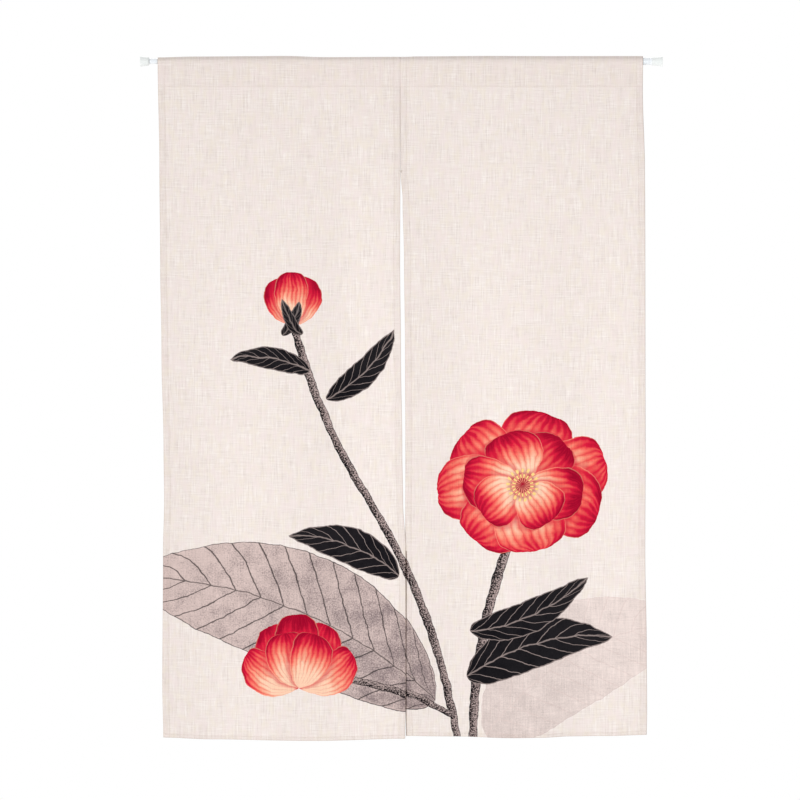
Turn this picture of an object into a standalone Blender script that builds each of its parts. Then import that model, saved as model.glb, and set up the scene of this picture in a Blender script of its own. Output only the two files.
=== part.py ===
"""A split door curtain of two linen panels, hung on a telescopic tension rod.

+X runs along the rod to the viewer's right, +Y away from the viewer and +Z up.
The origin is the middle of the right foot's flat end face, on the rod's axis.
Lengths are in metres, written as so many millimetres.
"""

import math
from collections import namedtuple

import bmesh
import bpy

MM = 0.001

# The rod, from its right end face at x = 0 to its left end face at x = -ROD_LENGTH
ROD_LENGTH = 914 * MM
OUTER_TUBE_RADIUS = 6.55 * MM
OUTER_TUBE_WALL = 1.2 * MM
OUTER_TUBE_MOUTH = 660 * MM
INNER_TUBE_RADIUS = 4.9 * MM
INNER_TUBE_WALL = 0.8 * MM
INNER_TUBE_LENGTH = 596 * MM
CLEARANCE = 0.3 * MM
TURNED_STEPS = 24

# The feet that press on the door frame
FOOT_RADIUS = 9.4 * MM
FOOT_EDGE = 1.2 * MM
FOOT_FLOOR = 4 * MM
RIGHT_FOOT_LENGTH = 18.5 * MM
RIGHT_FOOT_CONE = 11.5 * MM
RIGHT_FOOT_NECK_RADIUS = 7.6 * MM
LEFT_FOOT_LENGTH = 16 * MM
LEFT_FOOT_NECK_RADIUS = 7.8 * MM

# Two shallow grooves crimped round the outer tube hold the right foot's plug
CRIMP_PLACES = (22.5 * MM, 28.5 * MM)
CRIMP_WIDTH = 2 * MM
CRIMP_DEPTH = 0.3 * MM

# The cloth
SEAM_X = -459 * MM
PANEL_WIDTH = 425 * MM
SEAM_END = 194 * MM
POCKET_DROP = 44.6 * MM
POCKET_HALF_WIDTH = 7.9 * MM
CLOTH_THICKNESS = 1.0 * MM
HEM_THICKNESS = 1.5 * MM
SIDE_HEM = 12 * MM
BOTTOM_HEM = 7 * MM
HEM_STEP = 1.5 * MM
COLUMNS_BETWEEN_HEMS = 17
ROWS_BELOW_POCKET = 20
FLANK_ROWS = 3
CREST_ROWS = 8

# A panel's side edges: how far each is from the seam line, at so far below the rod's axis
EdgeRow = namedtuple("EdgeRow", "drop outer slit")
LEFT_EDGES = [
    EdgeRow(0 * MM, -426.0 * MM, -0.15 * MM),
    EdgeRow(SEAM_END, -423.0 * MM, -0.15 * MM),
    EdgeRow(348 * MM, -421.0 * MM, -0.3 * MM),
    EdgeRow(506 * MM, -419.0 * MM, 1.4 * MM),
    EdgeRow(681 * MM, -416.0 * MM, 3.7 * MM),
    EdgeRow(768 * MM, -415.0 * MM, 4.7 * MM),
    EdgeRow(856 * MM, -416.5 * MM, 8.1 * MM),
    EdgeRow(1031 * MM, -418.3 * MM, 8.5 * MM),
    EdgeRow(1190 * MM, -416.0 * MM, 8.4 * MM),
]
RIGHT_EDGES = [
    EdgeRow(0 * MM, 425.4 * MM, 0.15 * MM),
    EdgeRow(45 * MM, 424.6 * MM, 0.15 * MM),
    EdgeRow(SEAM_END, 428.0 * MM, 0.4 * MM),
    EdgeRow(243 * MM, 428.6 * MM, 4.0 * MM),
    EdgeRow(348 * MM, 429.3 * MM, 5.7 * MM),
    EdgeRow(506 * MM, 429.3 * MM, 7.5 * MM),
    EdgeRow(681 * MM, 429.3 * MM, 8.6 * MM),
    EdgeRow(856 * MM, 429.0 * MM, 8.6 * MM),
    EdgeRow(1031 * MM, 432.0 * MM, 9.0 * MM),
    EdgeRow(1136 * MM, 433.0 * MM, 9.7 * MM),
    EdgeRow(1190 * MM, 431.9 * MM, 10.5 * MM),
]

# The cloth's top edge over the rod and its bottom edge, at so far from the seam line
EndRow = namedtuple("EndRow", "across height")
CREST = [
    EndRow(-426 * MM, 8.4 * MM),
    EndRow(-361 * MM, 9.7 * MM),
    EndRow(-263 * MM, 9.9 * MM),
    EndRow(-203 * MM, 11.0 * MM),
    EndRow(-131 * MM, 8.4 * MM),
    EndRow(-14 * MM, 8.5 * MM),
    EndRow(8 * MM, 8.6 * MM),
    EndRow(30 * MM, 9.7 * MM),
    EndRow(157 * MM, 10.8 * MM),
    EndRow(245 * MM, 10.1 * MM),
    EndRow(426 * MM, 10.0 * MM),
]
LEFT_BOTTOM = [
    EndRow(-420 * MM, -1183.5 * MM),
    EndRow(-330 * MM, -1187.3 * MM),
    EndRow(-140 * MM, -1189.5 * MM),
    EndRow(9 * MM, -1186.3 * MM),
]
RIGHT_BOTTOM = [
    EndRow(9 * MM, -1181.0 * MM),
    EndRow(150 * MM, -1184.8 * MM),
    EndRow(300 * MM, -1183.0 * MM),
    EndRow(435 * MM, -1179.0 * MM),
]

# Soft upright folds: centre from the seam line, half width, how far back (+) or forward (-),
# the drop at which the fold is half grown, and the share of it that is left at the bottom hem
Fold = namedtuple("Fold", "across spread back grown left_over")
LEFT_FOLDS = [
    Fold(8 * MM, 62 * MM, -9.5 * MM, 190 * MM, 0.7),
    Fold(-98 * MM, 40 * MM, 5.5 * MM, 170 * MM, 0.3),
    Fold(-215 * MM, 60 * MM, -3.5 * MM, 330 * MM, 1.3),
    Fold(-325 * MM, 48 * MM, 3.5 * MM, 420 * MM, 1.2),
    Fold(-428 * MM, 38 * MM, -4 * MM, 240 * MM, 1.1),
]
RIGHT_FOLDS = [
    Fold(-4 * MM, 58 * MM, -8 * MM, 200 * MM, 0.6),
    Fold(118 * MM, 50 * MM, 3.5 * MM, 260 * MM, 1.0),
    Fold(225 * MM, 55 * MM, -3.5 * MM, 420 * MM, 1.4),
    Fold(322 * MM, 45 * MM, 3 * MM, 360 * MM, 0.9),
    Fold(436 * MM, 70 * MM, -6 * MM, 330 * MM, 0.7),
]

# Colours, as linear values
LINEN = (0.80, 0.73, 0.69, 1.0)
ROD_WHITE = (0.80, 0.84, 0.88, 1.0)
FOOT_WHITE = (0.76, 0.81, 0.79, 1.0)


def clear_scene():
    for thing in list(bpy.data.objects):
        bpy.data.objects.remove(thing)


def make_collection(name):
    made = bpy.data.collections.new(name)
    bpy.context.scene.collection.children.link(made)
    return made


def make_material(name, colour, roughness, metallic):
    material = bpy.data.materials.new(name)
    material.use_nodes = True
    shader = material.node_tree.nodes["Principled BSDF"]
    shader.inputs["Base Color"].default_value = colour
    shader.inputs["Roughness"].default_value = roughness
    shader.inputs["Metallic"].default_value = metallic
    return material


def between(rows, key, value, at):
    """The value of one column of a table at a place of another, eased between its rows."""
    places = [getattr(row, key) for row in rows]
    values = [getattr(row, value) for row in rows]
    if at <= places[0]:
        return values[0]
    for low, high, first, second in zip(places, places[1:], values, values[1:]):
        if at <= high:
            share = (at - low) / (high - low)
            return first + (second - first) * (1 - math.cos(math.pi * share)) / 2
    return values[-1]


def fold_depth(folds, across, drop, length):
    """How far behind the rod's axis the hanging sheet lies."""
    below = max(0.0, drop - POCKET_DROP)
    depth = 0.0
    for fold in folds:
        grown = 1 - math.exp(-((below / fold.grown) ** 2) * math.log(2))
        fade = 1 + (fold.left_over - 1) * (below / (length - POCKET_DROP)) ** 2
        depth += fold.back * grown * fade * math.exp(-(((across - fold.across) / fold.spread) ** 2))
    return depth


def section_rows():
    """The cloth's length as named stretches, from the bottom hem over the rod to the pocket's stitch."""
    hem_rows = [("hang", 0.0), ("hem", BOTTOM_HEM), ("hem", BOTTOM_HEM + HEM_STEP)]
    hanging = [("hang", row / ROWS_BELOW_POCKET) for row in range(1, ROWS_BELOW_POCKET + 1)]
    front = [("front", row / FLANK_ROWS) for row in range(1, FLANK_ROWS + 1)]
    crest = [("crest", row / CREST_ROWS) for row in range(1, CREST_ROWS + 1)]
    back = [("back", row / FLANK_ROWS) for row in range(1, FLANK_ROWS + 1)]
    return hem_rows + hanging + front + crest + back


def panel_columns():
    """Where the columns stand across the panel, from its outer edge to its slit edge."""
    middle = PANEL_WIDTH - 2 * (SIDE_HEM + HEM_STEP)
    inner = [
        SIDE_HEM + HEM_STEP + middle * column / COLUMNS_BETWEEN_HEMS
        for column in range(COLUMNS_BETWEEN_HEMS + 1)
    ]
    slit_side = [PANEL_WIDTH - SIDE_HEM, PANEL_WIDTH]
    return [0.0, SIDE_HEM] + inner + slit_side


def panel_point(edges, bottom, folds, column, row):
    """The place of one point of a panel's middle surface, from the seam line and the rod's axis."""
    stretch, share = row

    def across_at(drop):
        outer = between(edges, "drop", "outer", drop)
        slit = between(edges, "drop", "slit", drop)
        return outer + (slit - outer) * column / PANEL_WIDTH

    foot = between(bottom, "across", "height", across_at(-bottom[0].height))
    if stretch in ("hang", "hem"):
        length = -foot - POCKET_DROP
        rise = share if stretch == "hem" else share * length
        drop = -foot - rise
        across = across_at(drop)
        return across, fold_depth(folds, across, drop, -foot), -drop
    across = across_at(POCKET_DROP)
    crest = between(CREST, "across", "height", across) - HEM_THICKNESS / 2
    if stretch == "crest":
        turn = math.pi * share
        return across, -POCKET_HALF_WIDTH * math.cos(turn), crest * math.sin(turn)
    rising = share if stretch == "front" else 1 - share
    side = -1 if stretch == "front" else 1
    across = across_at(POCKET_DROP * (1 - rising))
    return across, side * POCKET_HALF_WIDTH * rising, -POCKET_DROP * (1 - rising)


def make_panel(name, edges, bottom, folds, material, collection, parent):
    """One hemmed panel with its rod pocket: a grid shaped to the drape, then thickened."""
    rows, columns = section_rows(), panel_columns()
    mesh = bpy.data.meshes.new(name)
    panel = bpy.data.objects.new(name, mesh)
    collection.objects.link(panel)
    panel.parent = parent
    panel.location = (SEAM_X, 0, 0)

    grid = bmesh.new()
    hem = grid.verts.layers.deform.new("hem")
    made = bmesh.ops.create_grid(
        grid, x_segments=len(columns) - 1, y_segments=len(rows) - 1, size=1.0
    )
    points = sorted(made["verts"], key=lambda v: (round(v.co.y, 5), round(v.co.x, 5)))
    for index, vert in enumerate(points):
        row, column = rows[index // len(columns)], columns[index % len(columns)]
        vert.co = panel_point(edges, bottom, folds, column, row)
        at_side = column <= SIDE_HEM or column >= PANEL_WIDTH - SIDE_HEM
        at_bottom = row in (("hang", 0.0), ("hem", BOTTOM_HEM))
        vert[hem][0] = 1.0 if at_side or at_bottom else 0.0
    bmesh.ops.remove_doubles(grid, verts=grid.verts, dist=0.01 * MM)
    grid.to_mesh(mesh)
    grid.free()

    panel.vertex_groups.new(name="hem")
    thicken = panel.modifiers.new("cloth_thickness", "SOLIDIFY")
    thicken.solidify_mode = "NON_MANIFOLD"
    thicken.nonmanifold_thickness_mode = "EVEN"
    thicken.thickness = HEM_THICKNESS
    thicken.offset = 0
    thicken.vertex_group = "hem"
    thicken.thickness_vertex_group = CLOTH_THICKNESS / HEM_THICKNESS
    mesh.materials.append(material)
    mesh.shade_smooth()
    return panel


def make_turned(name, profile, closed, material, collection, parent, place=(0, 0, 0)):
    """A turned piece on the rod's axis. The profile holds (radius, distance along +X) from right to left."""
    mesh = bpy.data.meshes.new(name)
    edges = [(point, point + 1) for point in range(len(profile) - 1)]
    if closed:
        edges.append((len(profile) - 1, 0))
    mesh.from_pydata([(radius, 0, along) for radius, along in profile], edges, [])
    piece = bpy.data.objects.new(name, mesh)
    collection.objects.link(piece)
    piece.parent = parent
    piece.location = place
    piece.rotation_euler = (0, math.pi / 2, 0)
    screw = piece.modifiers.new("turn", "SCREW")
    screw.steps = TURNED_STEPS
    screw.render_steps = TURNED_STEPS
    screw.use_merge_vertices = True
    screw.merge_threshold = 0.00001
    mesh.materials.append(material)
    return piece


def make_outer_tube(material, collection, parent):
    bore = OUTER_TUBE_RADIUS - OUTER_TUBE_WALL
    right, left = -FOOT_FLOOR - CLEARANCE, -OUTER_TUBE_MOUTH
    outside = [(OUTER_TUBE_RADIUS, right)]
    for place in CRIMP_PLACES:
        outside += [
            (OUTER_TUBE_RADIUS, -place + CRIMP_WIDTH / 2),
            (OUTER_TUBE_RADIUS - CRIMP_DEPTH, -place),
            (OUTER_TUBE_RADIUS, -place - CRIMP_WIDTH / 2),
        ]
    profile = outside + [(OUTER_TUBE_RADIUS, left), (bore, left), (bore, right)]
    make_turned("outer_tube", profile, True, material, collection, parent)


def make_inner_tube(material, collection, parent):
    bore = INNER_TUBE_RADIUS - INNER_TUBE_WALL
    left = FOOT_FLOOR + CLEARANCE
    right = left + INNER_TUBE_LENGTH
    profile = [(INNER_TUBE_RADIUS, right), (INNER_TUBE_RADIUS, left), (bore, left), (bore, right)]
    make_turned("inner_tube", profile, True, material, collection, parent)


def make_right_foot(material, collection, parent):
    """A flared foot whose sleeve takes the outer tube."""
    sleeve = OUTER_TUBE_RADIUS + CLEARANCE
    profile = [
        (0, 0),
        (FOOT_RADIUS, 0),
        (FOOT_RADIUS, -FOOT_EDGE),
        (RIGHT_FOOT_NECK_RADIUS, -RIGHT_FOOT_CONE),
        (RIGHT_FOOT_NECK_RADIUS, -RIGHT_FOOT_LENGTH),
        (sleeve, -RIGHT_FOOT_LENGTH),
        (sleeve, -FOOT_FLOOR),
        (0, -FOOT_FLOOR),
    ]
    make_turned("right_foot", profile, False, material, collection, parent)


def make_left_foot(material, collection, parent):
    """The mirror of the right foot, smaller, on the inner tube. Its end face is at the parent."""
    sleeve = INNER_TUBE_RADIUS + CLEARANCE
    profile = [
        (0, FOOT_FLOOR),
        (sleeve, FOOT_FLOOR),
        (sleeve, LEFT_FOOT_LENGTH),
        (LEFT_FOOT_NECK_RADIUS, LEFT_FOOT_LENGTH),
        (FOOT_RADIUS, FOOT_EDGE),
        (FOOT_RADIUS, 0),
        (0, 0),
    ]
    make_turned("left_foot", profile, False, material, collection, parent)


def make_axis(name, place, collection):
    axis = bpy.data.objects.new(name, None)
    axis.location = place
    axis.empty_display_size = 0.05
    collection.objects.link(axis)
    return axis


def main():
    clear_scene()
    collection = make_collection("split_door_curtain")
    linen = make_material("linen", LINEN, 0.95, 0.0)
    rod_white = make_material("rod_white", ROD_WHITE, 0.35, 0.0)
    foot_white = make_material("foot_white", FOOT_WHITE, 0.5, 0.0)

    rod = make_axis("rod_axis", (0, 0, 0), collection)
    slide = make_axis("slide_axis", (-ROD_LENGTH, 0, 0), collection)
    make_outer_tube(rod_white, collection, rod)
    make_right_foot(foot_white, collection, rod)
    make_inner_tube(rod_white, collection, slide)
    make_left_foot(foot_white, collection, slide)
    make_panel("left_panel", LEFT_EDGES, LEFT_BOTTOM, LEFT_FOLDS, linen, collection, rod)
    make_panel("right_panel", RIGHT_EDGES, RIGHT_BOTTOM, RIGHT_FOLDS, linen, collection, rod)


main()
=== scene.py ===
"""The looks of a split door curtain on its tension rod: printed linen, thread and white-coated rod."""

import math
import random
from collections import namedtuple

import bmesh
import bpy
import numpy as np
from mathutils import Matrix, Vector


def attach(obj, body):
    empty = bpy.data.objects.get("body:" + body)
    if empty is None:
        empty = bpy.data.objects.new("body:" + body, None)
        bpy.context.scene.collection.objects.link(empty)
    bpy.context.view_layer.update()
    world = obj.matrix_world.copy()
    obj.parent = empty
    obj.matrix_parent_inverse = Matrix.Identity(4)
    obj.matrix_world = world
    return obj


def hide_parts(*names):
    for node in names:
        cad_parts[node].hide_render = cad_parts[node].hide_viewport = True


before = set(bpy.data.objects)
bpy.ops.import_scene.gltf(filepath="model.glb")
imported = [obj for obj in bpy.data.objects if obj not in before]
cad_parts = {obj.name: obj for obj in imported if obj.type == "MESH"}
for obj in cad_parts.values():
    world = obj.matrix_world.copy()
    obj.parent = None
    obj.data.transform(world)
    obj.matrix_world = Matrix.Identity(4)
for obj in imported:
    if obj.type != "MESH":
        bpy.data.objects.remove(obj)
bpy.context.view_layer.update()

MM = 0.001


def named(kind, rows):
    """The rows of a table, with names for its columns."""
    return [kind(*row) for row in rows]


def in_metres(kind, rows, lengths=4):
    """The same for a table whose first columns are lengths, written in millimetres."""
    return [kind(*(value * MM for value in row[:lengths]), *row[lengths:]) for row in rows]


# The photographed view: the whole picture is this wide at the rod, with this point in its middle
PICTURE_WIDTH = 1400 * MM
PICTURE_MIDDLE = (-459.4 * MM, 0.0, -592.9 * MM)
CAMERA_DISTANCE = 9.0
SENSOR_WIDTH = 36.0
FLOOR_HEIGHT = -1.95
FLOOR_RADIUS = 2.6
FLOOR_COLOUR = (0.86, 0.86, 0.85, 1)
CLOTH_MIDDLE = (-459 * MM, 0.0, -600 * MM)

# The room is white to the eye and lights the cloth evenly. Two softboxes in front shape its folds, and one
# behind lights its back and the floor. Their places are in metres from the seam.
ROOM_LIGHT = 0.508
Softbox = namedtuple("Softbox", "name right near up width height watts")
SOFTBOXES = named(Softbox, [
    ("far_left", -4.6, 3.86, -0.45, 1.5, 2.0, 143),
    ("front_right", 0.5, 1.9, -0.60, 1.0, 1.0, 16),
    ("behind_high", 0.0, -3.2, 4.2, 2.0, 2.0, 165),
])

# The cloth. Cut lengths are measured on the flat cloth, drops down from the rod's axis.
SEAM_X = -459 * MM
PANEL_WIDTH = 425 * MM
FRONT_LENGTH = 1140 * MM  # from the bottom edge to the pocket's stitch row
NEAR_BOTTOM = 1190 * MM  # the drop at which the side edges are read for the bottom edge
SEAM_END = 194 * MM
# Where the left slit edge starts to lap over the right one, and how slowly the painted shadow under it fades
# lower down
LAP_TOP = 858 * MM
LAP_SHADOW_FADE = 0.006
POCKET_DROP = 44.6 * MM
POCKET_HALF_WIDTH = 7.9 * MM
POCKET_TAIL = 6 * MM
TAIL_TURNING = 4.5 * MM
CLOTH = 0.45 * MM
LAYER_GAP = 0.62 * MM
TAIL_DEPTH = LAYER_GAP * 1.6
TAIL_GAP = LAYER_GAP * 0.8
FOLD_BEND = 0.5 * MM
SIDE_HEM = 12 * MM
BOTTOM_HEM = 7 * MM
BOTTOM_RETURN = 6.4 * MM
HEM_ALLOWANCE = 0.75 * MM
CELL = 5 * MM
CELL_HANGING = CELL * 1.2
CELL_OVER_ROD = 1.4 * MM
CLEAR_OF_FOLD = 1 * MM

# A panel's side edges: how far each is from the seam line, at so far below the rod's axis
EdgeRow = namedtuple("EdgeRow", "drop outer slit")
LEFT_EDGES = in_metres(EdgeRow, [
    (0, -424.0, -0.08), (194, -421.1, -0.08), (348, -419.7, -0.6),
    (506, -417.4, 0.9), (681, -413.7, 3.3), (768, -412.6, 4.7), (856, -414.6, 9.3),
    (1090, -415.9, 9.7), (1190, -414.1, 8.4),
])
RIGHT_EDGES = in_metres(EdgeRow, [
    (0, 424.4, 0.08), (45, 424.2, 0.08), (194, 427.9, 0.8), (243, 428.3, 4.4),
    (348, 428.6, 7.0), (506, 428.7, 8.7), (681, 428.9, 9.3), (856, 428.3, 8.8),
    (1031, 430.9, 9.0), (1136, 431.6, 9.7), (1190, 430.8, 10.5),
])

# The cloth's top edge over the rod and its bottom edge, at so far from the seam line
EndRow = namedtuple("EndRow", "across height")
CREST = in_metres(EndRow, [
    (-424, 7.2), (-361, 8.7), (-263, 9.3), (-203, 9.8), (-131, 7.7), (-14, 8.2),
    (8, 8.2), (30, 9.0), (157, 9.8), (245, 9.5), (426, 9.6),
])
LEFT_BOTTOM = in_metres(EndRow, [
    (-420, -1183.0), (-330, -1186.6), (-140, -1189.1), (9, -1185.0),
])
RIGHT_BOTTOM = in_metres(EndRow, [
    (9, -1180.3), (90, -1181.5), (190, -1184.2), (245, -1183.6), (300, -1181.3),
    (360, -1180.6), (435, -1178.4),
])

# Soft upright folds: centre from the seam line, half width, how far back (+) or forward (-),
# the drop at which the fold is half grown, and the share of it that is left at the bottom hem
Fold = namedtuple("Fold", "across spread back grown left_over")
LEFT_FOLDS = in_metres(Fold, [
    (8, 62, -9.5, 190, 0.7), (-98, 40, 5.5, 170, 0.3), (-215, 60, -3.5, 330, 1.3),
    (-325, 48, 3.5, 420, 1.2), (-428, 38, -4, 240, 1.1),
])
RIGHT_FOLDS = in_metres(Fold, [
    (-4, 58, -8, 200, 0.6), (118, 50, 3.5, 260, 1.0), (225, 55, -3.5, 420, 1.4),
    (322, 45, 3, 360, 0.9), (436, 70, -6, 330, 0.7),
])
Panel = namedtuple("Panel", "name edges bottom folds hand")
PANELS = [
    Panel("left", LEFT_EDGES, LEFT_BOTTOM, LEFT_FOLDS, -1),
    Panel("right", RIGHT_EDGES, RIGHT_BOTTOM, RIGHT_FOLDS, 1),
]

# Broad ripples and the puckers along sewn rows: how many, how many radians a metre, and how deep
RIPPLES = 12
RIPPLE_ACROSS = 26
RIPPLE_DOWN = 14
RIPPLE_SIZES = (0.08, 0.2)
PUCKERS = 4
PUCKER_RATES = (250, 460)
Pull = namedtuple("Pull", "size reach")
POCKET_PULL, HEM_PULL, SIDE_PULL = in_metres(Pull, [(0.55, 22), (0.3, 16), (0.35, 13)])

# Weave and sewing. Each point of the cloth knows its distance from these lines of the sewing.
SEWING_LINES = ("from_side", "from_hem", "past_stitch", "past_back_stitch", "from_seam", "from_lap")
# Painted shade on the cloth fades between two such distances, which are in millimetres like the yarns' pitch.
SIDE_DOUBLED, BOTTOM_DOUBLED, POCKET_DOUBLED = (11.4, 12.4), (6.0, 7.0), (-0.5, 0.5)
HEM_PULLED, POCKET_PULLED = 1.3, 1.5
CREST_PAST_STITCH, CREST_SHADE = 57.7, (10.5, 19.5)
SEAM_SHADE, LAP_SHADOW, FOLD_SHADE, OFF_SEAM = (0.3, 1.9), (1.6, 4.0), (0.2, 1.6), (1.5, 4.0)
YARN_PITCH = 0.95
STITCH_PITCH = 3.2 * MM
STITCH_LENGTH = 2.5 * MM
STITCH_LINE = 1.2 * MM
SEAM_PITCH = 3.0 * MM
SEAM_REACH = 1.5 * MM
SEAM_SLANT = 1.2 * MM
TACK_REACH = 2.6 * MM
TWIST_PITCH = 0.7 * MM
THREAD_RADIUS = 0.2 * MM
TACK_PITCH = 2.1 * THREAD_RADIUS
THREAD_SIDES = 6
THREAD_SHAPE = (0.55, 1.0, 1.0, 1.0, 0.55)
THREAD_LIFT = (-0.16 * MM, 0.06 * MM, 0.12 * MM, 0.06 * MM, -0.16 * MM)
THREAD_FLATNESS = 0.8
STATIONS = len(THREAD_SHAPE)
FACE_AND_BACK = ((-1, 0), (1, 1))  # a side of the cloth, and the turned layers that lie on it

# The rod's pieces are turned on its axis. Their corners are in millimetres from an end face.
TURNED_STEPS = 72
ROUNDING_STEPS = 5
LONGEST_ROUNDING = 1 / 2.2  # as a share of an edge
ROD_LENGTH = 914 * MM
Corner = namedtuple("Corner", "radius along rounding")
RIGHT_FOOT = named(Corner, [
    (0, 0, 0), (9.4, 0, 0.5), (9.4, -1.3, 0.7), (7.6, -11.5, 3.0),
    (7.6, -18.5, 0.7), (6.85, -18.5, 0.2), (6.85, -4, 0.3), (0, -4, 0),
])
LEFT_FOOT = named(Corner, [
    (0, 4, 0), (5.2, 4, 0.3), (5.2, 16, 0.2), (5.9, 16, 0.4), (7.8, 13.9, 0.9),
    (9.4, 1.3, 0.7), (9.4, 0, 0.5), (0, 0, 0),
])
OUTER_TUBE = named(Corner, [
    (6.55, -4.3, 0.3), (6.55, -21.3, 0.8), (6.2, -22.5, 0.9), (6.55, -23.7, 0.8),
    (6.55, -27.3, 0.8), (6.2, -28.5, 0.9), (6.55, -29.7, 0.8), (6.55, -660, 0.5),
    (5.35, -660, 0.3), (5.35, -4.3, 0.3),
])
INNER_TUBE = named(Corner, [
    (4.9, 600.3, 0.4), (4.9, 4.3, 0.3), (4.1, 4.3, 0.2), (4.1, 600.3, 0.2),
])
TurnedPiece = namedtuple("TurnedPiece", "node corners closed place body slot")
ROD_PIECES = named(TurnedPiece, [
    ("outer_tube", OUTER_TUBE, True, 0.0, "curtain", "rod_white"),
    ("right_foot", RIGHT_FOOT, False, 0.0, "curtain", "foot_white"),
    ("inner_tube", INNER_TUBE, True, -ROD_LENGTH, "rod_extension", "rod_white"),
    ("left_foot", LEFT_FOOT, False, -ROD_LENGTH, "rod_extension", "foot_white"),
])

# Dyes and yarns, as linear colours
WHITE = (1, 1, 1, 1)
LINEN_LIGHT = (0.850, 0.789, 0.753, 1)
LINEN_SHADE = (0.665, 0.585, 0.547, 1)
LINEN_TAN = (0.768, 0.692, 0.604, 1)
LINEN_PINK = (0.778, 0.68, 0.662, 1)
CREAM = (0.86, 0.56, 0.40, 1)
PEACH = (0.82, 0.30, 0.20, 1)
CORAL = (0.77, 0.110, 0.088, 1)
CRIMSON = (0.60, 0.010, 0.040, 1)
DEEP_RED = (0.31, 0.001, 0.020, 1)
INK = (0.003, 0.0028, 0.0045, 1)
INK_GREY = (0.013, 0.0115, 0.0135, 1)
MAUVE = (0.60, 0.475, 0.445, 1)
MAUVE_DEEP = (0.19, 0.145, 0.15, 1)
STEM_LIGHT = (0.42, 0.325, 0.31, 1)
PALE_MAUVE = (0.73, 0.625, 0.59, 1)
PALE_MAUVE_DEEP = (0.55, 0.465, 0.44, 1)
GOLD = (0.86, 0.60, 0.22, 1)
THREAD_LIGHT = (0.84, 0.77, 0.71, 1)
THREAD_SHADE = (0.60, 0.52, 0.46, 1)

# The rod's coat and the feet's plastic: light, shaded and worn
ROD_DYES = [(0.78, 0.81, 0.848, 1), (0.742, 0.79, 0.834, 1), (0.62, 0.66, 0.70, 1)]
FOOT_DYES = [(0.762, 0.789, 0.781, 1), (0.724, 0.762, 0.748, 1), (0.64, 0.66, 0.65, 1)]

# Painted shade on the sewn cloth: how strongly, and with which tint. The lap's is a painted shadow.
PaintedShade = namedtuple("PaintedShade", "mask strength tint")
PAINTED_SHADES = named(PaintedShade, [
    ("Doubled", 0.6, (0.94, 0.93, 0.925, 1)),
    ("Stitch Line", 0.4, (0.90, 0.87, 0.85, 1)),
    ("Crest", 0.5, (0.91, 0.905, 0.90, 1)),
    ("Fold", 0.6, (0.90, 0.85, 0.80, 1)),
    ("Seam", 0.3, (0.88, 0.86, 0.85, 1)),
    ("Lap", 0.9, (0.27, 0.20, 0.15, 1)),
])

# The printed spray. Places are in millimetres from the seam line and the rod's axis.
# A leaf or stem runs from its foot to its tip. Its bend is how far its middle swings to the left of that
# line. The brush sways by up to half of SWAY.
SWAY = 9.0
STEM_FULL = (0.04, 0.04)
PETAL_FULL = (0.62, 0.36)
LEAF_FULL = (0.55, 0.8)
INKED = (LEAF_FULL, INK_GREY, INK, MAUVE)
LEAF_LOOKS = ["Light", "Dark", "Vein", "Grain", "Veins", "Ribs"]
Stem = namedtuple("Stem", "foot tip half_width bend fullness", defaults=[STEM_FULL])
Leaf = namedtuple("Leaf", "foot tip half_width bend fullness light dark vein grain veins ribs")
BACK_LEAVES = named(Leaf, [
    ((150, -1180), (500, -985), 92, 46, (0.5, 0.6), PALE_MAUVE, PALE_MAUVE_DEEP, MAUVE, 0.35, 0.4, 13),
    ((60, -1120), (-470, -905), 104, -60, (0.55, 0.62), MAUVE, MAUVE_DEEP, INK, 0.55, 0.8, 13),
])
STEMS = named(Stem, [
    ((104, -1215), (-64, -752), 8.0, -26),
    ((-56.6, -763.9), (-188, -452), 7.6, 13.6),
    ((128, -1215), (212, -790), 9.0, 24),
    ((94, -1150), (-170, -1070), 6.8, -18),
])
DARK_LEAVES = named(Leaf, [
    ((116, -1080), (372, -1010), 44, 26, *INKED, 0.3, 0.45, 8),
    ((122, -1000), (330, -905), 30, -18, *INKED, 0.25, 0.45, 8),
    ((-2, -900), (-196, -826), 33, -20, *INKED, 0.3, 0.45, 8),
    ((-128, -590), (-10, -470), 25, -14, *INKED, 0.35, 0.45, 8),
    ((-158, -540), (-300, -520), 21, -12, *INKED, 0.3, 0.45, 8),
])
FRONT_LEAVES = named(Leaf, [
    ((-206, -478), (-176, -418), 12, -6, *INKED, 0.3, 0.3, 6),
    ((-172, -478), (-206, -414), 11, 6, *INKED, 0.3, 0.3, 6),
])

# A flower's petals: feet and tips from its heart, in the flower's own radius, first the ones at the back
Petal = namedtuple("Petal", "turn reach half_width bend blush")
OPEN_PETALS = named(Petal, [
    (72, 1.00, 0.43, 0.05, 0.10), (20, 1.02, 0.40, -0.06, 0.02),
    (135, 0.97, 0.42, 0.07, 0.06), (188, 1.00, 0.38, -0.05, 0.00),
    (332, 0.98, 0.41, 0.06, 0.10), (232, 0.94, 0.40, 0.06, 0.05),
    (283, 0.90, 0.42, -0.05, 0.00), (48, 0.74, 0.33, 0.04, 0.26),
    (108, 0.72, 0.34, -0.05, 0.20), (170, 0.70, 0.31, 0.05, 0.16),
    (348, 0.72, 0.32, -0.04, 0.24), (222, 0.62, 0.30, -0.04, 0.14),
    (300, 0.60, 0.31, 0.04, 0.16),
])
CUP_PETALS = named(Petal, [
    (118, 1.00, 0.30, 0.06, 0.20), (66, 1.00, 0.31, -0.06, 0.16),
    (92, 1.08, 0.34, 0.02, 0.28), (150, 0.92, 0.30, 0.10, 0.04),
    (32, 0.92, 0.30, -0.10, 0.08), (106, 0.84, 0.33, 0.05, 0.12),
    (74, 0.82, 0.32, -0.04, 0.18),
])
BUD_PETALS = named(Petal, [
    (110, 0.92, 0.30, 0.08, 0.30), (70, 0.94, 0.30, -0.08, 0.24),
    (91, 1.00, 0.33, 0.02, 0.16),
])
Flower = namedtuple("Flower", "heart radius lean petals heart_size")
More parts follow.
